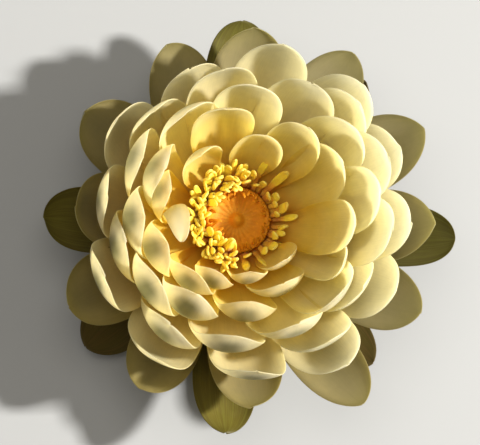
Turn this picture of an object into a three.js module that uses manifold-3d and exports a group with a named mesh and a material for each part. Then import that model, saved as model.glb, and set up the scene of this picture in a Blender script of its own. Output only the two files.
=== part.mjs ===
// A cut water lily flower: four sepals, rings of spoon-shaped petals, stamens round the
// top of the ovary, and the ovary itself with its stigma disc and a short cut stalk.
// Millimetres, +Z up. The cut end of the stalk and the backs of the sepals lie on z = 0.

import * as THREE from 'three';
import { mergeVertices } from 'three/addons/utils/BufferGeometryUtils.js';
import Module from 'manifold-3d';

const wasm = await Module();
wasm.setup();

// ---- driving dimensions ----

const AXIS_AT = [-4.4, 1.7];     // where the flower's axis stands, so that its box is centred
const GAP = 0.3;                 // clear space between a petal's foot and the ovary
const CURVE_STEPS = 48;          // steps used to add up a petal's centreline
const TIP_HALF_WIDTH = 0.35;     // a tip is blunt by this much
const WIDEST_AT = 0.6;           // where a petal is widest, along its length
const FLATTEST_CUP = 0.02;       // a cross-section never bends less than this, in radians

// How many facets a piece has along and across. The rows crowd towards the tip by the
// ease. claw: the width of its foot, as a share of its widest place.
const PETAL = { rows: 7, columns: 4, ease: 1.6, claw: 0.2, thickness: 0.8 };
const SEPAL = { rows: 6, columns: 4, ease: 1.6, claw: 0.2, thickness: 1.2 };
const STAMEN = { rows: 3, columns: 1, ease: 1.1, claw: 0.7, thickness: 0.8 };

// The outline of the stalk and ovary: radius and height, from the cut end upwards.
const STALK_AND_OVARY = [
  [0, 0], [4.6, 0], [4.7, 3], [6.2, 4.8], [8.4, 6.2], [8.6, 8.8], [9.3, 12], [9.8, 17], [10.3, 22],
  [10.5, 26.6],
];
// The rim and the sunken stigma disc, from the rim to the small knob in the middle.
const DISC = [[9.9, 27.2], [9, 27.2], [7.4, 25.6], [4.4, 24.7], [2.2, 24.6], [1.6, 25.9], [0, 26.5]];
const OVARY_SEGMENTS = 28;

// How a petal is shaped at each level, from the outermost level 0 inwards.
// base: height of its foot. angles: its slope in degrees at the foot, half way and at
// the tip. cup: half the angle, in radians, that its cross-section bends through.
const LEVELS = [
  { base: 10.2, halfWidth: 11.2, angles: [4, 14, 40], cup: 0.35 },
  { base: 12.2, halfWidth: 12.9, angles: [8, 20, 50], cup: 0.40 },
  { base: 14.6, halfWidth: 12.6, angles: [12, 31, 105], cup: 0.55 },
  { base: 17.0, halfWidth: 12.0, angles: [17, 38, 122], cup: 0.65 },
  { base: 19.2, halfWidth: 11.2, angles: [22, 45, 133], cup: 0.70 },
  { base: 21.2, halfWidth: 10.2, angles: [28, 54, 138], cup: 0.75 },
  { base: 23.0, halfWidth: 8.0, angles: [38, 66, 135], cup: 0.80 },
  { base: 24.0, halfWidth: 5.0, angles: [50, 80, 130], cup: 0.80 },
];
const OPEN_TOWARDS = 35;         // azimuth of the side that has opened further, in degrees
const SEPAL_SHAPE = { halfWidth: 10.5, angles: [-19, -3, 34], cup: 0.30 };
const SEPAL_FOOT = 9.0;          // radius at which the sepals leave the stalk's top
const OUTER_STAMEN = { base: 24.9, halfWidth: 1.1, angles: [28, 52, 80], cup: 0.5 };
const INNER_STAMEN = { base: 26.2, halfWidth: 0.9, angles: [60, 88, 130], cup: 0.5 };

// The thin bands that join the feet of the petals or stamens that share a node, as
// the outline of their section: radius and height.
const INNER_PETAL_BAND = [[10.6, 21.35], [11.6, 21.95], [11.6, 22.7], [10.6, 22.1]];
const INNERMOST_PETAL_BAND = [[10.75, 22.9], [11.9, 23.8], [11.9, 24.4], [10.75, 23.5]];
const OUTER_STAMEN_BAND = [[10.9, 24.7], [12.0, 25.3], [12.0, 25.8], [10.9, 25.2]];
const INNER_STAMEN_BAND = [[10.9, 25.5], [12.1, 26.5], [12.1, 27.2], [10.9, 26.2]];

// ---- the rings: each petal as [level, azimuth in degrees, reach from the axis in mm] ----

const SEPALS = [[46, 67.5], [139, 56], [220, 59.5], [318, 64]];
const OUTER_PETALS = [[0, 88.5, 63.5], [0, 181, 61], [0, 266.5, 67], [0, 356, 70]];
const RING_1 = [
  [1.2, 358, 61], [0.8, 26, 65.5], [0.4, 55.5, 65], [1.3, 86.5, 59], [0.45, 113, 59],
  [0.88, 146, 58.5], [1.32, 177, 52.5], [0.9, 207.5, 61.5], [0.45, 239, 62], [1.1, 271.5, 59.5],
  [0.35, 302.5, 69.5], [0.75, 332, 64],
];
const RING_2 = [
  [2.55, 356.5, 50], [1.7, 24, 53.5], [2.37, 48, 53], [2.7, 80, 51.5], [2.1, 112, 47.5],
  [1.8, 145.5, 49.3], [2.37, 174.5, 46.3], [2.1, 206, 52], [1.7, 237, 54.5], [2.2, 269.5, 51.4],
  [1.5, 302.5, 56], [2.0, 332, 51.5],
];
const RING_3 = [
  [3.84, 350, 42.9], [3.45, 22, 45], [2.87, 43.5, 47.5], [3.5, 64, 43], [3.23, 101, 43.8],
  [2.72, 135, 43.4], [3.41, 157.5, 40.5], [2.96, 195.5, 44], [2.8, 234.5, 47.5],
  [3.3, 260, 43.6], [2.55, 300, 47.6], [3.1, 324, 42.4],
];
const RING_4 = [
  [4.51, 6, 39], [4.07, 39, 40.3], [4.1, 90, 38], [3.8, 124.5, 37.2], [4.92, 156.5, 33.9],
  [4.06, 185.5, 38.8], [3.67, 217, 42.2], [4.77, 236, 37.7], [3.72, 290, 40.5],
  [4.32, 316, 38.5], [4.93, 330.5, 33.2],
];
const INNER_PETALS = [
  [5.6, 350, 31.5], [5.06, 28, 32], [5.5, 55, 30.5], [5.0, 105.5, 32.6], [5.78, 168, 29.9],
  [5.48, 201, 34.2], [5.5, 228, 30], [5.1, 268, 33], [5.5, 294, 27],
];
const INNERMOST_PETALS = [
  [6.0, 79, 24], [6.0, 129, 24.5], [6.48, 184, 25], [6.4, 242, 25], [6.6, 272, 21],
  [6.4, 309, 20],
];

// Each outer stamen as [azimuth in degrees, length in mm].
const OUTER_STAMENS = [
  [-31, 8.5], [-20, 9.5], [-7, 9], [5, 11], [17, 10], [30, 11.5], [43, 14.5], [59, 14],
  [98, 10], [109, 10], [150, 11], [161, 10], [206, 11], [217, 10],
];
const INNER_STAMEN_COUNT = 18;
const INNER_STAMEN_LENGTHS = [10, 12, 9];      // repeated round the ring

const COLOURS = {
  sepal: 0x5d6436,
  outerPetal: 0xb9b76a,
  petal: 0xe9dfae,
  innerPetal: 0xecd06a,
  stamen: 0xf2c52a,
  pistil: 0xd07a1e,
};

// ---- petals ----

const radians = THREE.MathUtils.degToRad;
const { clamp } = THREE.MathUtils;

// The shape at a level between two whole ones is part way between theirs.
function shapeAt(level) {
  const lower = LEVELS[Math.floor(level)];
  const upper = LEVELS[Math.min(Math.floor(level) + 1, LEVELS.length - 1)];
  const share = level - Math.floor(level);
  const mix = (a, b) => a + (b - a) * share;
  return {
    base: mix(lower.base, upper.base),
    halfWidth: mix(lower.halfWidth, upper.halfWidth),
    angles: lower.angles.map((angle, i) => mix(angle, upper.angles[i])),
    cup: mix(lower.cup, upper.cup),
  };
}

// The slope a share s of the way along: a quadratic through the three angles.
function slopeAt([foot, middle, tip], s) {
  const bend = 2 * (foot + tip) - 4 * middle;
  return radians(foot + (tip - foot - bend) * s + bend * s * s);
}

// The centreline of a petal of length 1, as points from its foot at the origin.
function centreline(angles) {
  const points = [{ out: 0, up: 0 }];
  for (let i = 1; i <= CURVE_STEPS; i++) {
    const slope = slopeAt(angles, (i - 0.5) / CURVE_STEPS);
    const last = points[i - 1];
    points.push({
      out: last.out + Math.cos(slope) / CURVE_STEPS,
      up: last.up + Math.sin(slope) / CURVE_STEPS,
    });
  }
  return points;
}

function pointOn(line, s) {
  const place = Math.min(s * CURVE_STEPS, CURVE_STEPS - 1e-6);
  const i = Math.floor(place);
  const share = place - i;
  return {
    out: line[i].out + (line[i + 1].out - line[i].out) * share,
    up: line[i].up + (line[i + 1].up - line[i].up) * share,
  };
}

// Half the width, as a share of the widest: a narrow claw, then a round end.
function outline(s, claw) {
  if (s < WIDEST_AT) {
    return claw + (1 - claw) * Math.sin((Math.PI / 2) * (s / WIDEST_AT)) ** 1.3;
  }
  const q = (s - WIDEST_AT) / (1 - WIDEST_AT);
  return Math.max(1 - q ** 2.2, 0) ** 0.55;
}

// A flat box bent into a petal. Its foot is at the origin, it reaches out along +X.
function bladeGeometry(shape, length, kind) {
  const line = centreline(shape.angles);
  const box = new THREE.BoxGeometry(2, 1, 1, kind.columns, kind.rows, 1);
  const position = box.attributes.position;
  for (let i = 0; i < position.count; i++) {
    const s = 1 - (0.5 - position.getY(i)) ** kind.ease;
    const across = position.getX(i);
    const layer = position.getZ(i) * kind.thickness;
    const half = Math.max(shape.halfWidth * outline(s, kind.claw), TIP_HALF_WIDTH);
    const cup = Math.max(shape.cup * Math.min(s * 2, 1), FLATTEST_CUP);
    const turn = cup * across;
    const side = (layer - half / cup) * Math.sin(turn);
    const lift = (half / cup) * (1 - Math.cos(turn)) + layer * Math.cos(turn);
    const slope = slopeAt(shape.angles, s);
    const centre = pointOn(line, s);
    position.setXYZ(
      i,
      centre.out * length - lift * Math.sin(slope),
      side,
      centre.up * length + lift * Math.cos(slope),
    );
  }
  return closed(box);
}

// A geometry with its seams joined, so that it bounds one closed body.
function closed(geometry) {
  geometry.deleteAttribute('normal');
  geometry.deleteAttribute('uv');
  return mergeVertices(geometry);
}

// A profile of radius and height turned about the flower's axis.
function turned(profile) {
  const points = profile.map(([radius, height]) => new THREE.Vector2(radius, height));
  return closed(new THREE.LatheGeometry(points, OVARY_SEGMENTS).rotateX(Math.PI / 2));
}

// The radius of the ovary at a height.
function ovaryRadius(height) {
  const i = STALK_AND_OVARY.findIndex((point) => point[1] > height);
  const [r0, z0] = STALK_AND_OVARY[i - 1];
  const [r1, z1] = STALK_AND_OVARY[i];
  return r0 + ((r1 - r0) * (height - z0)) / (z1 - z0);
}

// Where a piece's foot stands off the ovary.
function footRadius(shape, kind) {
  return ovaryRadius(shape.base) + GAP + kind.thickness * Math.sin(radians(shape.angles[0]));
}

// A piece whose foot stands at a radius and height, turned to its azimuth.
function placed(geometry, azimuth, radius, height) {
  const turn = new THREE.Matrix4().makeRotationZ(radians(azimuth));
  return geometry.translate(radius, 0, height).applyMatrix4(turn);
}

// The flower has opened further on one side, where the tips turn in less, and the
// innermost petals lean out, so that none stands far above its neighbours.
function opened(shape, level, azimuth) {
  const deep = clamp(level - 1, 0, 1);
  const openSide = clamp(0.42 + 0.7 * Math.cos(radians(azimuth - OPEN_TOWARDS)), 0, 1);
  const ease = deep * (34 * openSide - 8) + 6.5 * clamp(level - 2.2, 0, 3) * openSide;
  const lean = 9 * clamp(level - 4, 0, 2.2) * (1 - 0.55 * openSide);
  const [foot, middle, tip] = shape.angles;
  return {
    ...shape,
    angles: [foot - 0.75 * lean, middle - lean, tip - ease + 0.7 * lean * (1 - openSide)],
  };
}

// A petal set against the ovary, as long as it needs to be for its reach.
function petal([level, azimuth, reach]) {
  const shape = opened(shapeAt(level), level, azimuth);
  const foot = footRadius(shape, PETAL);
  const farthest = Math.max(...centreline(shape.angles).map((point) => point.out));
  const geometry = bladeGeometry(shape, (reach - foot) / farthest, PETAL);
  return placed(geometry, azimuth, foot, shape.base);
}

function stamen(shape, [azimuth, length]) {
  const geometry = bladeGeometry(shape, length, STAMEN);
  return placed(geometry, azimuth, footRadius(shape, STAMEN), shape.base);
}

// A sepal arches down from its foot, so that its back rests on z = 0.
function sepal([azimuth, reach]) {
  const farthest = Math.max(...centreline(SEPAL_SHAPE.angles).map((point) => point.out));
  const geometry = bladeGeometry(SEPAL_SHAPE, (reach - SEPAL_FOOT) / farthest, SEPAL);
  geometry.computeBoundingBox();
  return placed(geometry, azimuth, SEPAL_FOOT, -geometry.boundingBox.min.z);
}

// ---- nodes ----

function node(name, geometry, colour, roughness) {
  const paint = new THREE.MeshStandardMaterial({ color: colour, roughness, metalness: 0 });
  const mesh = new THREE.Mesh(geometry, paint);
  mesh.name = name;
  return mesh;
}

// One node for each piece of a ring, numbered from 1.
function ring(name, pieces, colour, roughness) {
  const group = new THREE.Group();
  pieces.forEach((piece, i) => group.add(node(`${name}_${i + 1}`, piece, colour, roughness)));
  return group;
}

function solid(geometry) {
  const vertProperties = Float32Array.from(geometry.attributes.position.array);
  const triVerts = Uint32Array.from(geometry.index.array);
  return new wasm.Manifold(new wasm.Mesh({ numProp: 3, vertProperties, triVerts }));
}

// One node for a whole ring of small pieces, joined at their feet by a band.
function joined(name, pieces, band, colour, roughness) {
  const foot = solid(turned([...band, band[0]]));
  const whole = pieces.reduce((sum, piece) => sum.add(solid(piece)), foot);
  const { vertProperties, triVerts } = whole.getMesh();
  const geometry = new THREE.BufferGeometry();
  geometry.setAttribute('position', new THREE.BufferAttribute(vertProperties, 3));
  geometry.setIndex(new THREE.BufferAttribute(triVerts, 1));
  return node(name, geometry, colour, roughness);
}

const innerPetals = INNER_PETALS.map(petal);
const innermostPetals = INNERMOST_PETALS.map(petal);
const outerStamens = OUTER_STAMENS.map((place) => stamen(OUTER_STAMEN, place));
const innerStamens = Array.from({ length: INNER_STAMEN_COUNT }, (_, i) => {
  const length = INNER_STAMEN_LENGTHS[i % INNER_STAMEN_LENGTHS.length];
  return stamen(INNER_STAMEN, [(360 / INNER_STAMEN_COUNT) * i, length]);
});

const flower = new THREE.Group();
flower.position.set(...AXIS_AT, 0);
flower.add(node('pistil', turned([...STALK_AND_OVARY, ...DISC]), COLOURS.pistil, 0.7));
flower.add(ring('sepal', SEPALS.map(sepal), COLOURS.sepal, 0.55));
flower.add(ring('outer_petal', OUTER_PETALS.map(petal), COLOURS.outerPetal, 0.5));
flower.add(ring('ring1_petal', RING_1.map(petal), COLOURS.petal, 0.5));
flower.add(ring('ring2_petal', RING_2.map(petal), COLOURS.petal, 0.5));
flower.add(ring('ring3_petal', RING_3.map(petal), COLOURS.petal, 0.5));
flower.add(ring('ring4_petal', RING_4.map(petal), COLOURS.petal, 0.5));
flower.add(joined('inner_petals', innerPetals, INNER_PETAL_BAND, COLOURS.innerPetal, 0.5));
flower.add(joined('innermost_petals', innermostPetals, INNERMOST_PETAL_BAND, COLOURS.innerPetal, 0.5));
flower.add(joined('outer_stamens', outerStamens, OUTER_STAMEN_BAND, COLOURS.stamen, 0.6));
flower.add(joined('inner_stamens', innerStamens, INNER_STAMEN_BAND, COLOURS.stamen, 0.6));

export default flower;
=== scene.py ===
import math
import random

import bpy
import numpy as np
from mathutils import Matrix, Vector


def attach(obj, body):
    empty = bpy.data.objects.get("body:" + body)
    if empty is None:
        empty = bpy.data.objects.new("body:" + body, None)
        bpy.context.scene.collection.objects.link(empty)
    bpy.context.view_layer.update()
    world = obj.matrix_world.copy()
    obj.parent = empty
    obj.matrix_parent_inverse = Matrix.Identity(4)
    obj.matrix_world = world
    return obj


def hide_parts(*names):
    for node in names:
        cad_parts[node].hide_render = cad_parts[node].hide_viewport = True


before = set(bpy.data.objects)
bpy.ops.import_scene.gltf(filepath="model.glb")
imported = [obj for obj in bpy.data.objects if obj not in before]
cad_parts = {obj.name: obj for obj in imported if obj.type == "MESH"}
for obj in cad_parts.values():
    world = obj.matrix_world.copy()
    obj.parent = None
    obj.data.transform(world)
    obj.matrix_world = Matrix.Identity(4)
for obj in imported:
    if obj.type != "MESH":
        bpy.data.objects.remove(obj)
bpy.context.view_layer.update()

# ==== Pistil ====
# The ovary that everything is grown onto, with the stump of the stalk below it, the sunken
# stigma disc on top and a ring of short blunt fingers round its rim. It is one fleshy body:
# pale green outside, and covered above with orange velvet.

MM = 0.001
AXIS = Vector((-4.4, 1.7, 0.0)) * MM         # where the flower's axis stands
OVARY_SIDES = 80
# Radius and height in millimetres, from the cut end of the stalk up to the rim, then down
# into the disc and up over the small knob in its middle.
OVARY_PROFILE = [
    (4.4, 0.0), (4.6, 0.3), (4.7, 3.0), (6.2, 4.8), (8.4, 6.2), (8.6, 8.8), (9.3, 12.0),
    (9.8, 17.0), (10.3, 22.0), (10.5, 26.0), (10.2, 27.0), (9.5, 27.3), (8.8, 26.9),
    (7.9, 26.0), (6.6, 25.3), (5.2, 24.9), (3.8, 24.7), (2.6, 24.7), (2.0, 25.2),
    (1.5, 25.9), (0.8, 26.3), (0.3, 26.4),
]
OVARY_WALL = OVARY_PROFILE[:10]               # up to the rim: the petals grow on this part
DISC_RIM = 9.5
DISC_DEPTH = 24.0                             # nothing of the disc is lower than this
CARPELS = 21                                  # chambers of the ovary, one ray for each
RAY_HEIGHT = 0.10                             # how far a ray stands up from the disc
RIB_SWELL = 0.012                             # how far its ribs stand out, as a share
FINGER_ROWS = (0.5, -0.7)                     # by turns just outside and inside the rim
FINGER_ROOT = 26.2                            # height of a finger's root
# A finger, from its root on the rim: distance in from the rim, height, width, thickness.
FINGER_STEPS = [
    (-0.6, 0.0, 1.5, 1.2), (-0.5, 1.0, 1.3, 1.1), (-0.1, 2.0, 1.2, 1.0), (0.5, 2.8, 1.1, 0.9),
    (1.1, 3.3, 0.8, 0.7), (1.4, 3.5, 0.4, 0.4),
]


def bare_hands():
    """Leaves edit mode and lets go of everything."""
    if bpy.context.mode != "OBJECT":
        bpy.ops.object.mode_set(mode="OBJECT")
    bpy.ops.object.select_all(action="DESELECT")


def points_of(mesh):
    """A mesh's points as an array of rows."""
    flat = np.empty(len(mesh.vertices) * 3)
    mesh.vertices.foreach_get("co", flat)
    return flat.reshape(-1, 3)


def move_points(mesh, points):
    mesh.vertices.foreach_set("co", np.ascontiguousarray(points).ravel())
    mesh.update()


def apply_modifier(piece, kind, **settings):
    modifier = piece.modifiers.new(kind.title(), kind)
    for key, value in settings.items():
        setattr(modifier, key, value)
    bpy.context.view_layer.objects.active = piece
    bpy.ops.object.modifier_apply(modifier=modifier.name)


def smooth(piece):
    bare_hands()
    piece.select_set(True)
    bpy.context.view_layer.objects.active = piece
    bpy.ops.object.shade_smooth()
    bare_hands()


def join(pieces, name):
    bare_hands()
    for piece in pieces:
        piece.select_set(True)
    bpy.context.view_layer.objects.active = pieces[0]
    bpy.ops.object.join()
    whole = bpy.context.view_layer.objects.active
    whole.name = name
    bare_hands()
    return whole


def colour(code):
    """A colour written as on a paint chart, 0xrrggbb, as the shader wants it."""
    parts = [((code >> shift) & 255) / 255 for shift in (16, 8, 0)]
    parts = [p / 12.92 if p <= 0.04045 else ((p + 0.055) / 1.055) ** 2.4 for p in parts]
    return (*parts, 1.0)


def add_node(tree, kind, inputs=None, **settings):
    """Adds a node, sets its options, then sets or joins its inputs."""
    node = tree.nodes.new(kind)
    for key, value in settings.items():
        setattr(node, key, value)
    for key, value in (inputs or {}).items():
        if isinstance(value, bpy.types.NodeSocket):
            tree.links.new(value, node.inputs[key])
        else:
            node.inputs[key].default_value = value
    return node


def sums(tree, operation, a, b=0.0):
    return add_node(tree, "ShaderNodeMath", {0: a, 1: b}, operation=operation).outputs[0]


def graded(tree, value, stops):
    """A colour that changes with a value: stops are (value, colour code)."""
    node = add_node(tree, "ShaderNodeValToRGB", {0: value})
    band = node.color_ramp
    band.interpolation = "EASE"
    while len(band.elements) < len(stops):
        band.elements.new(1.0)
    for element, (place, code) in zip(band.elements, stops):
        element.position = place
        element.color = colour(code)
    return node.outputs[0]


def blend(tree, share, a, b, how="MIX"):
    return add_node(tree, "ShaderNodeMix", {0: share, 6: a, 7: b}, data_type="RGBA",
                    blend_type=how).outputs[2]


def spread(tree, value, low, high, to_low=0.0, to_high=1.0):
    """Stretches a value's range low..high onto another one, with soft ends."""
    return add_node(tree, "ShaderNodeMapRange",
                    {0: value, 1: low, 2: high, 3: to_low, 4: to_high},
                    interpolation_type="SMOOTHSTEP").outputs[0]


def new_skin(name):
    """An empty material and its node tree."""
    skin = bpy.data.materials.new(name)
    skin.use_nodes = True
    skin.node_tree.nodes.clear()
    return skin, skin.node_tree


def show(tree, shader):
    add_node(tree, "ShaderNodeOutputMaterial", {0: shader})


def velvet_and_green():
    """The pistil's skin: by height and by distance from the axis."""
    skin, tree = new_skin("pistil_skin")
    place = add_node(tree, "ShaderNodeTexCoord").outputs["Object"]
    centred = add_node(tree, "ShaderNodeMapping", {0: place, 1: tuple(-AXIS)}).outputs[0]
    split = add_node(tree, "ShaderNodeSeparateXYZ", {0: centred}).outputs
    out = sums(tree, "SQRT", sums(tree, "ADD", sums(tree, "POWER", split[0], 2.0),
                                  sums(tree, "POWER", split[1], 2.0)))
    turn = sums(tree, "ARCTAN2", split[1], split[0])
    velvet_noise = add_node(tree, "ShaderNodeTexNoise",
                            {"Vector": centred, "Scale": 900.0, "Detail": 6.0}).outputs[0]
    cloud = add_node(tree, "ShaderNodeTexNoise",
                     {"Vector": centred, "Scale": 150.0, "Detail": 3.0}).outputs[0]
    # the rays of the disc, and the ribs down the ovary
    rays = sums(tree, "SINE", sums(tree, "MULTIPLY", turn, float(CARPELS)))
    # the disc over 12 mm from the axis, and the ovary over its height
    disc = graded(tree, sums(tree, "MULTIPLY", out, 1 / (12 * MM)), [
        (0.0, 0xd29410), (0.18, 0xc8840e), (0.45, 0xc47e0e), (0.70, 0xc88210), (0.86, 0xcc8614),
        (1.0, 0xd49220),
    ])
    disc = blend(tree, spread(tree, cloud, 0.35, 0.7), disc, colour(0xca8212))
    disc = blend(tree, spread(tree, rays, 0.2, 1.0, 0.0, 0.14), disc, colour(0xb05c12))
    disc = blend(tree, spread(tree, velvet_noise, 0.45, 0.75, 0.0, 0.4), disc, colour(0xe8a41c))
    green = graded(tree, sums(tree, "MULTIPLY", split[2], 1 / (30 * MM)), [
        (0.0, 0x8d8a52), (0.12, 0x7d8246), (0.3, 0x98a05a), (0.6, 0xc2c070), (0.85, 0xd9b850),
        (1.0, 0xd99a30),
    ])
    green = blend(tree, spread(tree, rays, -0.6, 0.9, 0.0, 0.35), green, colour(0x6f7a3c))
    top = spread(tree, split[2], 23.6 * MM, 25.0 * MM)
    inside = spread(tree, out, 10.2 * MM, 10.7 * MM, 1.0, 0.0)
    whole = blend(tree, sums(tree, "MULTIPLY", top, inside), green, disc)
    grain = add_node(tree, "ShaderNodeBump", {"Strength": 0.7, "Distance": 0.25 * MM,
                                              "Height": velvet_noise}).outputs[0]
    shader = add_node(tree, "ShaderNodeBsdfPrincipled", {
        "Base Color": whole, "Roughness": spread(tree, cloud, 0.3, 0.7, 0.62, 0.8),
        "Normal": grain, "Specular IOR Level": 0.25,
        "Subsurface Weight": 0.15, "Subsurface Radius": (1.0, 0.8, 0.2),
        "Subsurface Scale": 1.2 * MM,
    })
    show(tree, shader.outputs[0])
    return skin


# The body: a circle drawn out along the profile, ring by ring, and closed at the top.
bare_hands()
first_radius, first_height = OVARY_PROFILE[0]
bpy.ops.mesh.primitive_circle_add(vertices=OVARY_SIDES, radius=first_radius * MM,
                                  fill_type="NGON", location=AXIS)
body = bpy.context.active_object
bpy.ops.object.transform_apply(location=True, rotation=True, scale=True)
bpy.ops.object.mode_set(mode="EDIT")
bpy.ops.mesh.select_all(action="SELECT")
radius, height = first_radius, first_height
for next_radius, next_height in OVARY_PROFILE[1:]:
    rise = (0, 0, (next_height - height) * MM)
    bpy.ops.mesh.extrude_region_move(TRANSFORM_OT_translate={"value": rise})
    bpy.ops.transform.resize(value=(next_radius / radius, next_radius / radius, 1),
                             center_override=tuple(AXIS))
    radius, height = next_radius, next_height
bpy.ops.mesh.merge(type="CENTER")
bpy.ops.mesh.select_all(action="SELECT")
bpy.ops.mesh.normals_make_consistent(inside=False)
# the cut end is let in a little, so that it shows as a cut with a skin round it
bpy.ops.mesh.select_all(action="DESELECT")
bpy.ops.object.mode_set(mode="OBJECT")
for face in body.data.polygons:
    face.select = face.normal.z < -0.99 and face.center.z < 0.1 * MM
bpy.ops.object.mode_set(mode="EDIT")
bpy.ops.mesh.inset(thickness=0.5 * MM)
bpy.ops.transform.translate(value=(0, 0, 0.4 * MM))
bpy.ops.mesh.inset(thickness=2.0 * MM)
bpy.ops.transform.translate(value=(0, 0, 0.3 * MM))
bpy.ops.mesh.merge(type="CENTER")
bare_hands()
apply_modifier(body, "SUBSURF", levels=1, render_levels=1)

# the rays of the disc stand up a little, and the ovary has a rib for every chamber
rows = points_of(body.data)
flat = rows[:, :2] - np.array(AXIS[:2])
radii = np.hypot(flat[:, 0], flat[:, 1]) / MM
around = np.arctan2(flat[:, 1], flat[:, 0])
on_disc = (rows[:, 2] > DISC_DEPTH * MM) & (radii < DISC_RIM)
ray = np.cos(CARPELS * around) * np.clip((radii - 2.5) / 3, 0, 1)
rows[:, 2] += np.where(on_disc, RAY_HEIGHT * ray, 0) * MM
side = (rows[:, 2] > 5 * MM) & (radii > 8.0) & (rows[:, 2] < 26 * MM)
swell = np.where(side, 1 + RIB_SWELL * np.cos(CARPELS * around), 1.0)
rows[:, :2] = np.array(AXIS[:2]) + flat * swell[:, None]
move_points(body.data, rows)

# one finger, drawn out step by step from its root, then copied round the rim
bare_hands()
inset, height, width, thick = FINGER_STEPS[0]
bpy.ops.mesh.primitive_circle_add(vertices=8, radius=0.5 * MM, fill_type="NGON")
finger = bpy.context.active_object
bpy.ops.object.mode_set(mode="EDIT")
bpy.ops.mesh.select_all(action="SELECT")
bpy.ops.transform.resize(value=(thick, width, 1))
for next_inset, next_height, next_width, next_thick in FINGER_STEPS[1:]:
    step = ((inset - next_inset) * MM, 0, (next_height - height) * MM)
    bpy.ops.mesh.extrude_region_move(TRANSFORM_OT_translate={"value": step})
    bpy.ops.transform.resize(value=(next_thick / thick, next_width / width, 1))
    inset, height, width, thick = next_inset, next_height, next_width, next_thick
bpy.ops.mesh.select_all(action="SELECT")
bpy.ops.mesh.normals_make_consistent(inside=False)
bare_hands()
apply_modifier(finger, "SUBSURF", levels=1, render_levels=1)
finger_points = points_of(finger.data)

grow = random.Random(11)
fingers = []
for number in range(2 * CARPELS):
    copy = finger.copy()
    copy.data = finger.data.copy()
    bpy.context.collection.objects.link(copy)
    size = grow.uniform(0.7, 1.15)
    lean = Matrix.Rotation(math.radians(grow.uniform(-16, 16)), 3, "X")
    lean = Matrix.Rotation(math.radians(grow.uniform(-24, 22)), 3, "Y") @ lean
    step = math.pi / CARPELS
    turn = Matrix.Rotation(step * (number + grow.uniform(-0.35, 0.35)), 3, "Z")
    placed = (finger_points * np.array([size, grow.uniform(0.8, 1.1), size])) @ np.array(lean).T
    placed += np.array([(DISC_RIM + FINGER_ROWS[number % 2]) * MM, 0, FINGER_ROOT * MM])
    move_points(copy.data, placed @ np.array(turn).T + np.array(AXIS))
    fingers.append(copy)
bpy.data.objects.remove(finger)
pistil = join([body, *fingers], "ovary_and_disc")
smooth(pistil)
pistil.data.materials.clear()
pistil.data.materials.append(velvet_and_green())
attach(pistil, "root")
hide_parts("pistil")

# ==== Sepals ====
# Four thick leathery leaves that held the bud shut. They are grown onto the receptacle just
# above the stalk, arch down onto their backs and turn up at the tips. Olive brown with fine
# long streaks, paler inside towards the foot.

# azimuth in degrees, reach from the axis in millimetres
SEPALS = [[46, 67.5], [139, 56], [220, 59.5], [318, 64]]
SEPAL_FOOT = 8.2                # how far from the axis a sepal is grown on
SEPAL = dict(half_width=10.5, angles=(-19, -3, 34), cup=0.30, claw=0.45, thick=1.2,
             point=0.62)
CROWD = 1.6                     # how the rows of a blade crowd towards its tip
WIDEST_AT = 0.66                # where a blade is widest, along its length
BLUNT = 0.35                    # half width of the very tip, in millimetres
RIM_FADE = 2.4                  # how far the thin margin reaches in, in millimetres
RIM_THINNING = 0.68             # how much of the thickness is gone at the very rim
COLUMN_SPREAD = 1.25            # how the columns of a blade crowd towards its margins
CREASE_DEPTH = 0.25             # of the crease down the middle, in millimetres
CREASE_WIDTH = 0.28             # the same crease, as a share of half the width
MARGIN_WAVE = 0.42              # how far the margins wave up and down, in millimetres
EDGE_WANDER = 0.35              # how far they wander sideways
FACE_SWELL = 0.25               # how far the face between them swells and sinks
CENTRELINE_STEPS = 240


def slope_at(angles, s):
    """Slope in radians, a share s of the way along: a smooth curve through three angles."""
    foot, middle, tip = angles
    bend = 2 * (foot + tip) - 4 * middle
    return np.radians(foot + (tip - foot - bend) * s + bend * s * s)


def centreline(angles):
    """How far out and up a blade of length 1 has gone, at each step."""
    slope = slope_at(angles, (np.arange(CENTRELINE_STEPS) + 0.5) / CENTRELINE_STEPS)
    out = np.concatenate([[0], np.cumsum(np.cos(slope))]) / CENTRELINE_STEPS
    up = np.concatenate([[0], np.cumsum(np.sin(slope))]) / CENTRELINE_STEPS
    return out, up


def outline(s, claw, point):
    """Half the width, as a share of the widest: a narrow foot, then a rounded end."""
    lower = claw + (1 - claw) * np.sin(math.pi / 2 * np.clip(s / WIDEST_AT, 0, 1)) ** 1.3
    q = np.clip((s - WIDEST_AT) / (1 - WIDEST_AT), 0, 1)
    return np.where(s < WIDEST_AT, lower, (1 - q ** 2.4) ** point)


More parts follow.
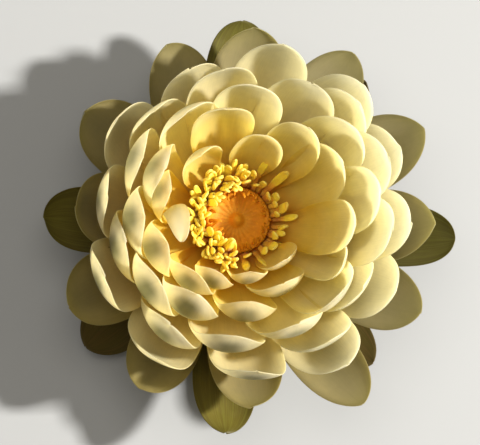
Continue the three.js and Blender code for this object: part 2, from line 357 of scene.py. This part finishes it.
def blade(name, length, half_width, angles, cup, claw, thick, point, seed,
          twist=0.0, sway=0.0, curl=0.0, ripple=1.0, green=1.0, spiral=0.0, cells=(24, 14)):
    """A petal-like blade of a length in millimetres. Its foot is at the origin, it reaches
    out along +X, and its inner face looks up. It is a flat grid bent in mesh code, then
    given flesh that thins towards the rim. green is how strongly its patch of painted shade
    shows, and with it the warm glow painted inside."""
    chance = random.Random(seed)
    bare_hands()
    bpy.ops.mesh.primitive_grid_add(x_subdivisions=cells[0], y_subdivisions=cells[1], size=2)
    piece = bpy.context.active_object
    piece.name = name
    mesh = piece.data
    rows = points_of(mesh)
    s = 1 - (1 - (rows[:, 0] + 1) / 2) ** CROWD
    across = np.sin(rows[:, 1] * COLUMN_SPREAD) / math.sin(COLUMN_SPREAD)
    half = np.maximum(half_width * outline(s, claw, point), BLUNT)
    past = np.clip((s - WIDEST_AT) / (1 - WIDEST_AT), 0, 1)
    bow = np.maximum(cup * np.minimum(2 * s, 1) * (1 - 0.8 * past ** 2), 0.02)
    turn = bow * across
    lateral = half / bow * np.sin(turn)
    lift = half / bow * (1 - np.cos(turn))
    # the margin rolls in, waves a little, and a shallow crease follows the middle
    lift += curl * half * np.abs(across) ** 5 * np.clip((s - 0.25) / 0.5, 0, 1)
    phase = [chance.uniform(0, 6.28) for _ in range(4)]
    body_part = np.clip((s - 0.2) / 0.5, 0, 1)
    wave = np.sin(s * 9 + phase[0]) * np.clip(across, 0, 1) ** 2
    wave += np.sin(s * 8 + phase[1]) * np.clip(-across, 0, 1) ** 2
    lift += MARGIN_WAVE * ripple * wave * body_part
    lateral += (EDGE_WANDER * ripple * np.sin(s * 7 + phase[2]) * np.abs(across)
                * body_part)
    lift += FACE_SWELL * ripple * np.sin(s * 5 + across * 2.2 + phase[3]) * body_part
    trough = np.exp(-(across / CREASE_WIDTH) ** 2) * np.sin(math.pi * np.clip(s / 0.85, 0, 1))
    lift -= CREASE_DEPTH * trough
    roll = np.radians(twist) * s
    lateral, lift = (lateral * np.cos(roll) - lift * np.sin(roll),
                     lateral * np.sin(roll) + lift * np.cos(roll))
    out, up = centreline(angles)
    steps = np.linspace(0, 1, len(out))
    slope = slope_at(angles, s)
    shaped = np.empty_like(rows)
    shaped[:, 0] = np.interp(s, steps, out) * length - lift * np.sin(slope)
    shaped[:, 1] = lateral + sway * s ** 2
    shaped[:, 2] = np.interp(s, steps, up) * length + lift * np.cos(slope)
    if spiral:
        # the upper part turns about the upright line where the blade stands furthest out
        stem = out.max() * length
        rise = np.clip(shaped[:, 2] / (up.max() * length), 0, 1)
        swing = np.radians(spiral) * rise * rise * (3 - 2 * rise)
        x, y = shaped[:, 0] - stem, shaped[:, 1].copy()
        shaped[:, 0] = stem + x * np.cos(swing) - y * np.sin(swing)
        shaped[:, 1] = x * np.sin(swing) + y * np.cos(swing)
    move_points(mesh, shaped * MM)

    # u runs along the blade and v across it, so that veins fan out from the foot
    spots = np.empty(len(mesh.loops), dtype=int)
    mesh.loops.foreach_get("vertex_index", spots)
    uv = np.stack([s[spots], (across[spots] + 1) / 2], axis=1)
    mesh.uv_layers[0].data.foreach_set("uv", uv.ravel())
    from_side = half * (1 - np.abs(across))
    from_tip = length * (1 - s)
    from_edge = np.maximum(np.minimum(from_side, from_tip), 0)
    rim = np.exp(-from_edge / RIM_FADE)
    mesh.attributes.new("rim", "FLOAT", "POINT").data.foreach_set("value", rim)
    tint = np.full(len(rim), green)
    mesh.attributes.new("green", "FLOAT", "POINT").data.foreach_set("value", tint)

    flesh = piece.vertex_groups.new(name="flesh")
    for index, edge in enumerate(rim):
        flesh.add([index], 1.0 - RIM_THINNING * edge, "REPLACE")
    inner_points = len(mesh.vertices)
    apply_modifier(piece, "SOLIDIFY", thickness=thick * MM, offset=0.0, vertex_group="flesh")
    mesh = piece.data
    back = np.zeros(len(mesh.vertices))
    back[inner_points:] = 1.0
    mesh.attributes.new("back", "FLOAT", "POINT").data.foreach_set("value", back)
    piece.vertex_groups.clear()
    apply_modifier(piece, "SUBSURF", levels=1, render_levels=1)
    smooth(piece)
    return piece


def plant(piece, azimuth, radius, height):
    """Stands a blade's foot at a radius and height, turned to its azimuth."""
    place = (Matrix.Translation(AXIS) @ Matrix.Rotation(math.radians(azimuth), 4, "Z")
             @ Matrix.Translation(Vector((radius, 0, height)) * MM))
    piece.data.transform(place)
    piece.data.update()


def clad(piece, skin, node):
    piece.data.materials.clear()
    piece.data.materials.append(skin)
    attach(piece, "root")
    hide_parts(node)


def blade_skin(name, inside, outside, patch, patch_share, glow, thin_glow, vein_share,
               gloss=(0.38, 0.52), streaks=None, painted_warmth=0.42):
    """Waxy flesh that lets light through, most of all at its thin rim. inside and outside
    are colours from foot to tip; patch is painted shade on the middle of the outer face near
    the tip, partly also the greener colour of the thicker flesh there. The petals that carry
    more of this painted shade also get a warm glow painted inside, standing in for light that
    comes through the petals in front of them."""
    skin, tree = new_skin(name)
    uv = add_node(tree, "ShaderNodeUVMap", uv_map="UVMap").outputs[0]
    along, across, _ = add_node(tree, "ShaderNodeSeparateXYZ", {0: uv}).outputs
    back = add_node(tree, "ShaderNodeAttribute", attribute_name="back").outputs["Fac"]
    rim = add_node(tree, "ShaderNodeAttribute", attribute_name="rim").outputs["Fac"]
    green = add_node(tree, "ShaderNodeAttribute", attribute_name="green").outputs["Fac"]
    place = add_node(tree, "ShaderNodeTexCoord").outputs["Object"]
    drift = add_node(tree, "ShaderNodeTexNoise",
                     {"Vector": place, "Scale": 55.0, "Detail": 3.0}).outputs[0]
    mottle = add_node(tree, "ShaderNodeTexNoise",
                      {"Vector": place, "Scale": 420.0, "Detail": 4.0}).outputs[0]
    long_way = add_node(tree, "ShaderNodeMapping", {0: uv, 3: (2.6, 30.0, 1.0)}).outputs[0]
    veins = add_node(tree, "ShaderNodeTexNoise",
                     {"Vector": long_way, "Scale": 1.0, "Detail": 5.0,
                      "Roughness": 0.6}).outputs[0]

    wander = sums(tree, "ADD", along, spread(tree, drift, 0.25, 0.75, -0.06, 0.06))
    inner = graded(tree, wander, inside)
    outer = graded(tree, wander, outside)
    # painted shade: the patch darkens the middle of the outer face near the tip, where a
    # turned-in tip faces away from the lamp; the green attribute sets how much
    across_middle = sums(tree, "ABSOLUTE", sums(tree, "SUBTRACT", across, 0.5))
    middle = sums(tree, "MULTIPLY", spread(tree, across_middle, 0.04, 0.34, 1.0, 0.0),
                  sums(tree, "MULTIPLY", spread(tree, along, 0.62, 0.78),
                       spread(tree, along, 0.90, 1.0, 1.0, 0.3)))
    middle = sums(tree, "MULTIPLY", middle, spread(tree, rim, 0.12, 0.72, patch_share, 0.0))
    outer = blend(tree, sums(tree, "MULTIPLY", middle, green), outer, colour(patch))
    # painted light: a warm glow inside, strongest on the petals away from the lamp, standing in
    # for light shining through the petals in front
    inner = blend(tree, sums(tree, "MULTIPLY", green, painted_warmth), inner, colour(0xffeeb2),
                  "MULTIPLY")
    if streaks:
        streaky = sums(tree, "MULTIPLY", spread(tree, veins, 0.46, 0.64), streaks[1])
        outer = blend(tree, streaky, outer, colour(streaks[0]))
        inner = blend(tree, sums(tree, "MULTIPLY", streaky, 0.6), inner, colour(streaks[0]))
    flesh = blend(tree, back, inner, outer)
    lines = spread(tree, veins, 0.35, 0.65, 1.0 - vein_share, 1.0 + vein_share * 0.4)
    lines = sums(tree, "MULTIPLY", lines, spread(tree, mottle, 0.3, 0.7, 0.975, 1.02))
    grey = add_node(tree, "ShaderNodeCombineColor", {0: lines, 1: lines, 2: lines}).outputs[0]
    flesh = blend(tree, 1.0, flesh, grey, "MULTIPLY")

    height = sums(tree, "ADD", sums(tree, "MULTIPLY", veins, 0.8),
                  sums(tree, "MULTIPLY", mottle, 0.25))
    bump = add_node(tree, "ShaderNodeBump", {"Strength": 0.2, "Distance": 0.12 * MM,
                                             "Height": height}).outputs[0]
    wax = add_node(tree, "ShaderNodeBsdfPrincipled", {
        "Base Color": flesh, "Roughness": spread(tree, mottle, 0.3, 0.7, *gloss),
        "Normal": bump, "Specular IOR Level": 0.45, "Sheen Weight": 0.08,
        "Sheen Roughness": 0.4,
    }).outputs[0]
    through = add_node(tree, "ShaderNodeBsdfTranslucent",
                       {"Color": flesh, "Normal": bump}).outputs[0]
    share = spread(tree, rim, 0.0, 0.9, glow, thin_glow)
    show(tree, add_node(tree, "ShaderNodeMixShader", {0: share, 1: wax, 2: through}).outputs[0])
    return skin


sepal_skin = blade_skin(
    "sepal_skin",
    inside=[(0.0, 0xa08c50), (0.35, 0x7c7040), (0.7, 0x665c30), (1.0, 0x5c5228)],
    outside=[(0.0, 0x645a34), (0.4, 0x564e2c), (0.8, 0x4c4526), (1.0, 0x524624)],
    patch=0x443b22, patch_share=0.7, glow=0.16, thin_glow=0.34, vein_share=0.16,
    gloss=(0.36, 0.5), streaks=(0x6b4a2c, 0.55))
for number, (azimuth, reach) in enumerate(SEPALS, 1):
    span = centreline(SEPAL["angles"])[0].max()
    piece = blade(f"sepal_{number}_leaf", (reach - SEPAL_FOOT) / span, seed=40 + number,
                  curl=0.05, cells=(22, 12), **SEPAL)
    # the back of its arch just clears the ground
    lowest = points_of(piece.data)[:, 2].min() / MM
    plant(piece, azimuth, SEPAL_FOOT, -lowest + 0.05)
    clad(piece, sepal_skin, f"sepal_{number}")

# ==== Outer petals ====
# Four petals in the gaps between the sepals, each grown onto the ovary by a narrow foot.
# They are petals, but still half like sepals: thinner flesh, olive, with fine lighter
# streaks.

# How a petal is shaped at each level, from the outermost level 0 inwards: the height of its
# foot, half its width, its slope at the foot, half way and at the tip, and its cup.
LEVELS = [
    (10.2, 11.2, (4, 14, 40), 0.35), (12.2, 12.9, (8, 20, 50), 0.40),
    (14.6, 12.6, (12, 31, 105), 0.55), (17.0, 12.0, (17, 38, 122), 0.65),
    (19.2, 11.2, (22, 45, 133), 0.70), (21.2, 10.2, (28, 54, 138), 0.75),
    (23.0, 8.0, (38, 66, 135), 0.80), (24.0, 5.0, (50, 80, 130), 0.80),
]
# The flower has opened further on one side. Angles are in degrees.
OPEN_TOWARDS = 35               # azimuth of that side
OPEN_EASE = 34                  # how much less the tips turn in there
CLOSED_CURL = 8                 # how much more they turn in on the other side
INWARD_EASE = 6.5               # more ease for each level above 2.2, on the open side
INWARD_LEAN = 9                 # how far a petal leans out, for each level above 4
ROOTED = 0.1                    # how deep a petal's foot sinks into the ovary, in millimetres
# level, azimuth in degrees, reach from the axis in millimetres
OUTER_PETALS = [[0, 88.5, 63.5], [0, 181, 61], [0, 266.5, 67], [0, 356, 70]]


def shape_at(level):
    """Between two whole levels, part way between their shapes."""
    low = LEVELS[int(level)]
    high = LEVELS[min(int(level) + 1, len(LEVELS) - 1)]
    share = level - int(level)

    def between(a, b):
        return a + (b - a) * share

    slopes = tuple(between(a, b) for a, b in zip(low[2], high[2]))
    return between(low[0], high[0]), between(low[1], high[1]), slopes, between(low[3], high[3])


def ovary_radius(height):
    radii, heights = zip(*OVARY_WALL)
    return float(np.interp(height, heights, radii))


def clamp(value, low, high):
    return min(max(value, low), high)


def opened(slopes, level, azimuth):
    """A petal's slopes where it stands: on the open side its tip turns in less, and the
    innermost petals lean out, so that none stands far above its neighbours."""
    deep = clamp(level - 1, 0, 1)
    open_side = clamp(0.42 + 0.7 * math.cos(math.radians(azimuth - OPEN_TOWARDS)), 0, 1)
    ease = (deep * (OPEN_EASE * open_side - CLOSED_CURL)
            + INWARD_EASE * clamp(level - 2.2, 0, 3) * open_side)
    lean = INWARD_LEAN * clamp(level - 4, 0, 2.2) * (1 - 0.55 * open_side)
    foot, middle, tip = slopes
    return foot - 0.75 * lean, middle - lean, tip - ease + 0.7 * lean * (1 - open_side)


def petal(name, level, azimuth, reach, seed, bend=None, **own):
    """A petal grown onto the ovary, as long as it needs to be for its reach. bend gives it
    slopes of its own, and own any other trait of a blade."""
    height, half_width, slopes, cup = shape_at(level)
    slopes = bend or opened(slopes, level, azimuth)
    # fresh flesh spreads a little wider and spoons deeper than the plain shape of its level
    deep = clamp(level - 1, 0, 1)
    cup *= 1 + 0.3 * deep + 0.75 * (1 - deep)
    half_width *= 1 + 0.06 * deep + 0.11 * clamp(level - 2.5, 0, 1)
    chance = random.Random(seed * 7 + 3)
    foot = ovary_radius(height) - ROOTED
    span = centreline(slopes)[0].max()
    traits = dict(
        half_width=half_width, cup=cup, claw=0.24, thick=0.75,
        twist=chance.uniform(-7, 7), sway=chance.uniform(-1.0, 1.0),
        curl=chance.uniform(0.02, 0.07), point=chance.uniform(0.46, 0.55),
        ripple=chance.uniform(0.7, 1.2),
        # painted shade: the patch and the warm glow inside are strongest on the side away from
        # the lamp
        green=0.55 - 0.45 * math.cos(math.radians(azimuth - OPEN_TOWARDS)))
    traits.update(own)
    piece = blade(name, (reach - foot) / span, angles=slopes, seed=seed, **traits)
    plant(piece, azimuth, foot, height)
    return piece


outer_petal_skin = blade_skin(
    "outer_petal_skin",
    inside=[(0.0, 0x8a7038), (0.35, 0x7e7442), (0.7, 0x7e7744), (1.0, 0x767036)],
    outside=[(0.0, 0x706634), (0.5, 0x776e3a), (1.0, 0x7c743c)],
    patch=0x686232, patch_share=0.7, glow=0.42, thin_glow=0.60, vein_share=0.10,
    streaks=(0x8a8c3c, 0.5), painted_warmth=0.8)
for number, (level, azimuth, reach) in enumerate(OUTER_PETALS, 1):
    piece = petal(f"outer_petal_{number}_blade", level, azimuth, reach, 60 + number)
    clad(piece, outer_petal_skin, f"outer_petal_{number}")

# ==== First ring of petals ====
# Twelve petals, the widest and flattest, lying nearly level and grown onto the ovary. Waxy
# flesh, thick in the middle and thin at the rim: ivory with a yellow foot, and on the back
# near the tip a greyish green patch, partly greener flesh and partly painted shade.

RING_1 = [
    [1.2, 358, 61], [0.8, 26, 65.5], [0.4, 55.5, 65], [1.3, 86.5, 59], [0.45, 113, 59],
    [0.88, 146, 58.5], [1.32, 177, 52.5], [0.9, 207.5, 61.5], [0.45, 239, 62],
    [1.1, 271.5, 59.5], [0.35, 302.5, 69.5], [0.75, 332, 64],
]
# these end in more of a point than the others
POINTED = {1: 0.68, 2: 0.66, 11: 0.64, 12: 0.60, 3: 0.60, 10: 0.58}

ivory_skin = blade_skin(
    "ivory_petal_skin",
    inside=[(0.0, 0xc09044), (0.25, 0xb89e66), (0.5, 0xb4a87a), (0.8, 0xb5ac88),
            (1.0, 0xb7af84)],
    outside=[(0.0, 0xa69958), (0.4, 0xb6ad74), (0.8, 0xc0ba8e), (1.0, 0xc8c49a)],
    patch=0x70745a, patch_share=1.0, glow=0.60, thin_glow=0.80, vein_share=0.03,
    painted_warmth=0.6)
for number, (level, azimuth, reach) in enumerate(RING_1, 1):
    piece = petal(f"ring1_petal_{number}_blade", level, azimuth, reach, 100 + number,
                  point=POINTED.get(number, 0.54))
    clad(piece, ivory_skin, f"ring1_petal_{number}")

# ==== Second ring of petals ====
# Twelve petals of cream flesh, grown onto the ovary in the gaps of the first ring. They rise
# more, and their tips begin to turn in, so that the patch on the back, greener flesh with
# painted shade, shows from above.

RING_2 = [
    [2.55, 356.5, 50], [1.7, 24, 53.5], [2.37, 48, 53], [2.7, 80, 51.5], [2.1, 112, 47.5],
    [1.8, 145.5, 49.3], [2.37, 174.5, 46.3], [2.1, 206, 52], [1.7, 237, 54.5],
    [2.2, 269.5, 51.4], [1.5, 302.5, 56], [2.0, 332, 51.5],
]

cream_skin = blade_skin(
    "cream_petal_skin",
    inside=[(0.0, 0xf4c88c), (0.15, 0xf4e2b0), (0.4, 0xf4ebc4), (0.8, 0xf3edce),
            (1.0, 0xf4f0d8)],
    outside=[(0.0, 0xf0e4a8), (0.45, 0xf5f0ca), (0.85, 0xf8f5dc), (1.0, 0xf9f7e6)],
    patch=0x74785c, patch_share=0.88, glow=0.62, thin_glow=0.80, vein_share=0.03)
for number, (level, azimuth, reach) in enumerate(RING_2, 1):
    piece = petal(f"ring2_petal_{number}_blade", level, azimuth, reach, 200 + number)
    clad(piece, cream_skin, f"ring2_petal_{number}")

# ==== Third ring of petals ====
# Twelve petals grown on higher up, deeper spoons whose tips hang over the cup. The same
# flesh, cream at the rim, warmer and more golden towards the foot.

RING_3 = [
    [3.84, 350, 42.9], [3.45, 22, 45], [2.87, 43.5, 47.5], [3.5, 64, 43], [3.23, 101, 43.8],
    [2.72, 135, 43.4], [3.41, 157.5, 40.5], [2.96, 195.5, 44], [2.8, 234.5, 47.5],
    [3.3, 260, 43.6], [2.55, 300, 47.6], [3.1, 324, 42.4],
]

for number, (level, azimuth, reach) in enumerate(RING_3, 1):
    piece = petal(f"ring3_petal_{number}_blade", level, azimuth, reach, 300 + number)
    clad(piece, cream_skin, f"ring3_petal_{number}")

# ==== Fourth ring of petals ====
# Eleven petals that stand up round the cup, grown onto the upper part of the ovary. Like
# the others, but more yellow inside.

RING_4 = [
    [4.51, 6, 39], [4.07, 39, 40.3], [4.1, 90, 38], [3.8, 124.5, 37.2], [4.92, 156.5, 33.9],
    [4.06, 185.5, 38.8], [3.67, 217, 42.2], [4.77, 236, 37.7], [3.72, 290, 40.5],
    [4.32, 316, 38.5], [4.93, 330.5, 33.2],
]

yellow_skin = blade_skin(
    "yellow_petal_skin",
    inside=[(0.0, 0xf4c25c), (0.15, 0xf8de82), (0.35, 0xfaeea8), (0.6, 0xfaf4c8),
            (0.85, 0xfaf6da), (1.0, 0xfaf6e0)],
    outside=[(0.0, 0xf6eaac), (0.45, 0xf9f4cc), (0.85, 0xfaf7e0), (1.0, 0xfbf9e8)],
    patch=0x7c8064, patch_share=0.9, glow=0.64, thin_glow=0.82, vein_share=0.03)
# this one is slimmer, held between its neighbours
SLIM = {11: dict(half_width=8.8)}
for number, (level, azimuth, reach) in enumerate(RING_4, 1):
    piece = petal(f"ring4_petal_{number}_blade", level, azimuth, reach, 400 + number,
                  **SLIM.get(number, {}))
    clad(piece, yellow_skin, f"ring4_petal_{number}")

# ==== Inner petals ====
# Nine smaller petals, each grown onto the ovary on its own foot, just below its rim. Their
# thin flesh is golden yellow inside.

INNER_PETALS = [
    [5.6, 350, 31.5], [5.06, 28, 32], [5.5, 55, 30.5], [5.0, 105.5, 32.6], [5.78, 168, 29.9],
    [5.48, 201, 34.2], [5.5, 228, 30], [5.1, 268, 33], [5.5, 294, 27],
]

golden_skin = blade_skin(
    "golden_petal_skin",
    inside=[(0.0, 0xf4b040), (0.15, 0xf7d054), (0.35, 0xf9e478), (0.6, 0xfbf0a4),
            (0.85, 0xfcf4c8), (1.0, 0xfcf6d8)],
    outside=[(0.0, 0xf8e690), (0.45, 0xfaf0b8), (0.85, 0xfbf6d8), (1.0, 0xfbf8e2)],
    patch=0x84866a, patch_share=0.9, glow=0.66, thin_glow=0.84, vein_share=0.03)
for number, (level, azimuth, reach) in enumerate(INNER_PETALS, 1):
    piece = petal(f"inner_petal_{number}", level, azimuth, reach, 500 + number)
    clad(piece, golden_skin, "inner_petals")

# ==== Innermost petals ====
# Six narrow petals, part way to being stamens, grown onto the rim of the ovary and standing
# round the stamens. The same golden flesh.

INNERMOST_PETALS = [
    [6.0, 79, 24], [6.0, 129, 24.5], [6.3, 178, 24.0], [6.4, 242, 25], [6.6, 272, 21],
    [6.4, 309, 20],
]

# one of them stands up straight and folds right over, so that it shows its back
FOLDED = {3: dict(bend=(40, 79, 188), half_width=4.0, spiral=-86, sway=0.0, point=0.50,
                  twist=0.0, cup=0.35, green=0.2)}
for number, (level, azimuth, reach) in enumerate(INNERMOST_PETALS, 1):
    piece = petal(f"innermost_petal_{number}", level, azimuth, reach, 600 + number,
                  **FOLDED.get(number, {}))
    clad(piece, golden_skin, "innermost_petals")

# ==== Outer stamens ====
# Flat, half petal-like stamens grown onto the rim of the ovary. Each is a soft orange strap
# with two long yellow pollen sacs side by side near its end and a blunt tip beyond them.

# Each stamen by its tip: azimuth in degrees, distance from the axis, height above the table.
OUTER_STAMENS = [
    (-110, 18.5, 33.5), (-97, 14.8, 31.0), (-84, 16.5, 32.5), (-62, 17.0, 30.5),
    (-40, 14.5, 30.6), (-31, 18.0, 31.5), (-10, 14.8, 31.5), (2, 18.2, 31.0),
    (15, 15.4, 32.0), (31, 14.2, 31.0), (44, 20.3, 34.5), (54, 13.6, 31.5), (64, 20.0, 35.0),
    (72, 14.6, 33.0), (84, 16.6, 33.0),
]
STAMEN_SIDES = 10
STAMEN_BOW = 22                 # how far a stamen bows, in degrees to each side of straight
# A stamen along its length: share of the length, half width, half thickness in millimetres.
STAMEN_STEPS = [
    (0.0, 0.72, 0.34), (0.22, 0.70, 0.34), (0.38, 0.72, 0.38), (0.47, 0.90, 0.50),
    (0.56, 1.08, 0.64), (0.68, 1.14, 0.68), (0.80, 1.10, 0.66), (0.89, 0.98, 0.56),
    (0.95, 0.78, 0.42), (0.99, 0.48, 0.28), (1.0, 0.22, 0.14),
]


def straight_stamen():
    """One stamen of length 1 standing on the origin along +Z, drawn out ring by ring. Its
    width is along Y and its inner face looks towards -X."""
    bare_hands()
    share, wide, thick = STAMEN_STEPS[0]
    bpy.ops.mesh.primitive_circle_add(vertices=STAMEN_SIDES, radius=1.0, fill_type="NGON")
    piece = bpy.context.active_object
    bpy.ops.object.mode_set(mode="EDIT")
    bpy.ops.mesh.select_all(action="SELECT")
    bpy.ops.transform.resize(value=(thick, wide, 1))
    for next_share, next_wide, next_thick in STAMEN_STEPS[1:]:
        rise = (0, 0, next_share - share)
        bpy.ops.mesh.extrude_region_move(TRANSFORM_OT_translate={"value": rise})
        bpy.ops.transform.resize(value=(next_thick / thick, next_wide / wide, 1))
        share, wide, thick = next_share, next_wide, next_thick
    bpy.ops.mesh.select_all(action="SELECT")
    bpy.ops.mesh.normals_make_consistent(inside=False)
    bare_hands()
    # the furrow between the two pollen sacs, on the inner face and less on the back
    rows = points_of(piece.data)
    sacs = (rows[:, 2] > 0.45) & (rows[:, 2] < 0.9) & (np.abs(rows[:, 1]) < 0.35)
    rows[:, 0] = np.where(sacs, rows[:, 0] * np.where(rows[:, 0] < 0, 0.25, 0.7), rows[:, 0])
    # how far along each point is, for the skin
    piece.data.attributes.new("along", "FLOAT", "POINT").data.foreach_set("value", rows[:, 2])
    move_points(piece.data, rows)
    return piece


def stamens(name, places, foot_radius, foot_height, seed, width):
    """Copies of the straight stamen, each bent to reach its tip and planted, as one piece.
    A place is the tip's azimuth, distance from the axis and height. width scales each
    stamen's own width and thickness."""
    pattern = straight_stamen()
    straight = points_of(pattern.data)
    chance = random.Random(seed)
    grown = []
    for azimuth, tip_radius, tip_height in places:
        copy = pattern.copy()
        copy.data = pattern.data.copy()
        bpy.context.collection.objects.link(copy)
        out_by, up_by = tip_radius - foot_radius, tip_height - foot_height
        slant = math.degrees(math.atan2(up_by, out_by))
        bend = STAMEN_BOW * chance.uniform(0.5, 1.3)
        angles = (slant - bend, slant, slant + bend)
        out, up = centreline(angles)
        length = math.hypot(out_by, up_by) / math.hypot(out[-1], up[-1])
        s = straight[:, 2]
        thick = straight[:, 0] * width * chance.uniform(0.8, 1.15)
        wide = straight[:, 1] * width * chance.uniform(0.75, 1.35)
        roll = np.radians(chance.uniform(-70, 70)) * s
        thick, wide = (thick * np.cos(roll) - wide * np.sin(roll),
                       thick * np.sin(roll) + wide * np.cos(roll))
        steps = np.linspace(0, 1, len(out))
        slope = slope_at(angles, s)
        bent = np.empty_like(straight)
        bent[:, 0] = np.interp(s, steps, out) * length + thick * np.sin(slope)
        bent[:, 1] = wide + chance.uniform(-2.0, 2.0) * s * (1 - s)
        bent[:, 2] = np.interp(s, steps, up) * length - thick * np.cos(slope)
        move_points(copy.data, bent * MM)
        plant(copy, azimuth, foot_radius, foot_height)
        grown.append(copy)
    bpy.data.objects.remove(pattern)
    whole = join(grown, name)
    apply_modifier(whole, "SUBSURF", levels=1, render_levels=1)
    smooth(whole)
    return whole


def pollen_skin():
    """Orange straps, bright yellow powdery sacs, and a pale tip."""
    skin, tree = new_skin("stamen_skin")
    along = add_node(tree, "ShaderNodeAttribute", attribute_name="along").outputs["Fac"]
    place = add_node(tree, "ShaderNodeTexCoord").outputs["Object"]
    grains = add_node(tree, "ShaderNodeTexNoise",
                      {"Vector": place, "Scale": 2200.0, "Detail": 3.0}).outputs[0]
    drift = add_node(tree, "ShaderNodeTexNoise",
                     {"Vector": place, "Scale": 260.0, "Detail": 2.0}).outputs[0]
    base = graded(tree, along, [
        (0.0, 0xcf7a1c), (0.3, 0xd88a22), (0.42, 0xe8ac2c), (0.54, 0xfee63c), (0.85, 0xfeec48),
        (1.0, 0xfdf27c),
    ])
    base = blend(tree, spread(tree, drift, 0.4, 0.7, 0.0, 0.5), base, colour(0xf8d038))
    base = blend(tree, spread(tree, grains, 0.5, 0.75, 0.0, 0.4), base, colour(0xfbe870))
    bump = add_node(tree, "ShaderNodeBump", {"Strength": 0.5, "Distance": 0.08 * MM,
                                             "Height": grains}).outputs[0]
    powder = add_node(tree, "ShaderNodeBsdfPrincipled", {
        "Base Color": base, "Roughness": spread(tree, grains, 0.3, 0.7, 0.5, 0.7),
        "Normal": bump, "Sheen Weight": 0.15,
    }).outputs[0]
    through = add_node(tree, "ShaderNodeBsdfTranslucent", {"Color": base}).outputs[0]
    show(tree, add_node(tree, "ShaderNodeMixShader", {0: 0.3, 1: powder, 2: through}).outputs[0])
    return skin


stamen_skin = pollen_skin()
outer = stamens("outer_stamen_ring", OUTER_STAMENS, foot_radius=10.8, foot_height=25.0,
                seed=71, width=1.25)
clad(outer, stamen_skin, "outer_stamens")

# ==== Inner stamens ====
# Thinner stamens with the same orange straps and pollen sacs, grown onto the rim inside the
# outer ones and curling in over the disc. They crowd together on one side of the flower and
# are few on the other.

CROWDED = 122                   # how many stand on the crowded side
CROWD_FROM, CROWD_OVER = 84, 178    # where that side begins and how wide it is, in degrees
CROWD_REACH = (7.6, 17.8)       # the nearest and farthest tip from the axis, in millimetres
CROWD_HEIGHT = 30.5             # of the lowest tips, which rise by 0.28 for each mm outwards
grow = random.Random(72)
inner_places = []
for number in range(CROWDED):
    azimuth = CROWD_FROM + CROWD_OVER * (number + grow.uniform(0, 0.9)) / CROWDED
    tip = grow.uniform(*CROWD_REACH)
    inner_places.append((azimuth, tip,
                         CROWD_HEIGHT + 0.28 * (tip - 8) + grow.uniform(0, 5.0)))
# the few on the other side, placed one by one
inner_places += [
    (-78, 12.0, 31.5), (-50, 13.0, 30.8), (-24, 12.8, 30.0), (-19, 15.0, 30.4),
    (7, 12.4, 30.2), (22, 12.6, 30.3), (38, 11.6, 31.0), (61, 11.8, 31.0), (79, 11.5, 32.0),
]
inner = stamens("inner_stamen_ring", inner_places, foot_radius=10.6, foot_height=25.8,
                seed=73, width=1.15)
clad(inner, stamen_skin, "inner_stamens")

# ==== Table top, light and camera ====
# Not part of the flower: a plain pale surface, a soft lamp low on the right, a weak fill from
# all round, and the camera looking down into the cup from slightly below left.

TABLE_SIZE = 6.0                # in metres, as are the distances below
LAMP_DISTANCE = 2.0
CAMERA_DISTANCE = 0.9
AIM_HEIGHT = 0.0255             # how high on the flower's axis the camera aims
AIM_RIGHT, AIM_UP = 0.00094, -0.00078    # how far off the axis, across and up its view
TILT = math.radians(14)         # of the camera, from looking straight down
BEARING = math.radians(215)     # the side it leans to
LENS = 215.65                   # its focal length in millimetres

bare_hands()
bpy.ops.mesh.primitive_plane_add(size=TABLE_SIZE, location=(0, 0, 0))
table = bpy.context.active_object
table.name = "table_top"
table_skin, tree = new_skin("pale_table")
show(tree, add_node(tree, "ShaderNodeBsdfPrincipled", {
    "Base Color": (0.36, 0.37, 0.39, 1.0), "Roughness": 0.85}).outputs[0])
table.data.materials.append(table_skin)


def lamp(name, azimuth, elevation, size, watts, tint):
    """A square soft lamp aimed at the middle of the flower."""
    light = bpy.data.lights.new(name, "AREA")
    light.size = size
    light.energy = watts
    light.color = tint
    stand = bpy.data.objects.new(name, light)
    bpy.context.collection.objects.link(stand)
    a, e = math.radians(azimuth), math.radians(elevation)
    aim = Vector((0, 0, 0.03))
    stand.location = aim + LAMP_DISTANCE * Vector((math.cos(a) * math.cos(e),
                                                   math.sin(a) * math.cos(e), math.sin(e)))
    stand.rotation_euler = (aim - stand.location).to_track_quat("-Z", "Y").to_euler()


lamp("key_lamp", azimuth=3, elevation=37, size=0.16, watts=98, tint=(1.0, 0.965, 0.88))
lamp("fill_lamp", azimuth=150, elevation=70, size=1.6, watts=19, tint=(1.0, 0.95, 0.84))
world = bpy.data.worlds.new("studio")
world.use_nodes = True
around_light = world.node_tree.nodes["Background"].inputs
around_light["Color"].default_value = (1.0, 0.92, 0.76, 1.0)
around_light["Strength"].default_value = 0.19
bpy.context.scene.world = world
bpy.context.scene.view_settings.view_transform = "Standard"

toward_camera = Vector((math.sin(TILT) * math.cos(BEARING), math.sin(TILT) * math.sin(BEARING),
                        math.cos(TILT)))
level_axis = Vector((0, 0, 1)).cross(toward_camera).normalized()
tip_over = Matrix.Rotation(TILT, 3, level_axis)
right, up = tip_over @ Vector((1, 0, 0)), tip_over @ Vector((0, 1, 0))
camera = bpy.data.objects.new("camera", bpy.data.cameras.new("camera"))
bpy.context.collection.objects.link(camera)
camera.data.sensor_width = 36
camera.data.sensor_fit = "HORIZONTAL"
camera.data.lens = LENS
camera.data.clip_start, camera.data.clip_end = 0.05, 20
aim = AXIS + Vector((0, 0, AIM_HEIGHT)) + AIM_RIGHT * right + AIM_UP * up
spot = aim + CAMERA_DISTANCE * toward_camera
facing = Matrix((right, up, toward_camera)).transposed()
camera.matrix_world = Matrix.Translation(spot) @ facing.to_4x4()
bpy.context.scene.camera = camera
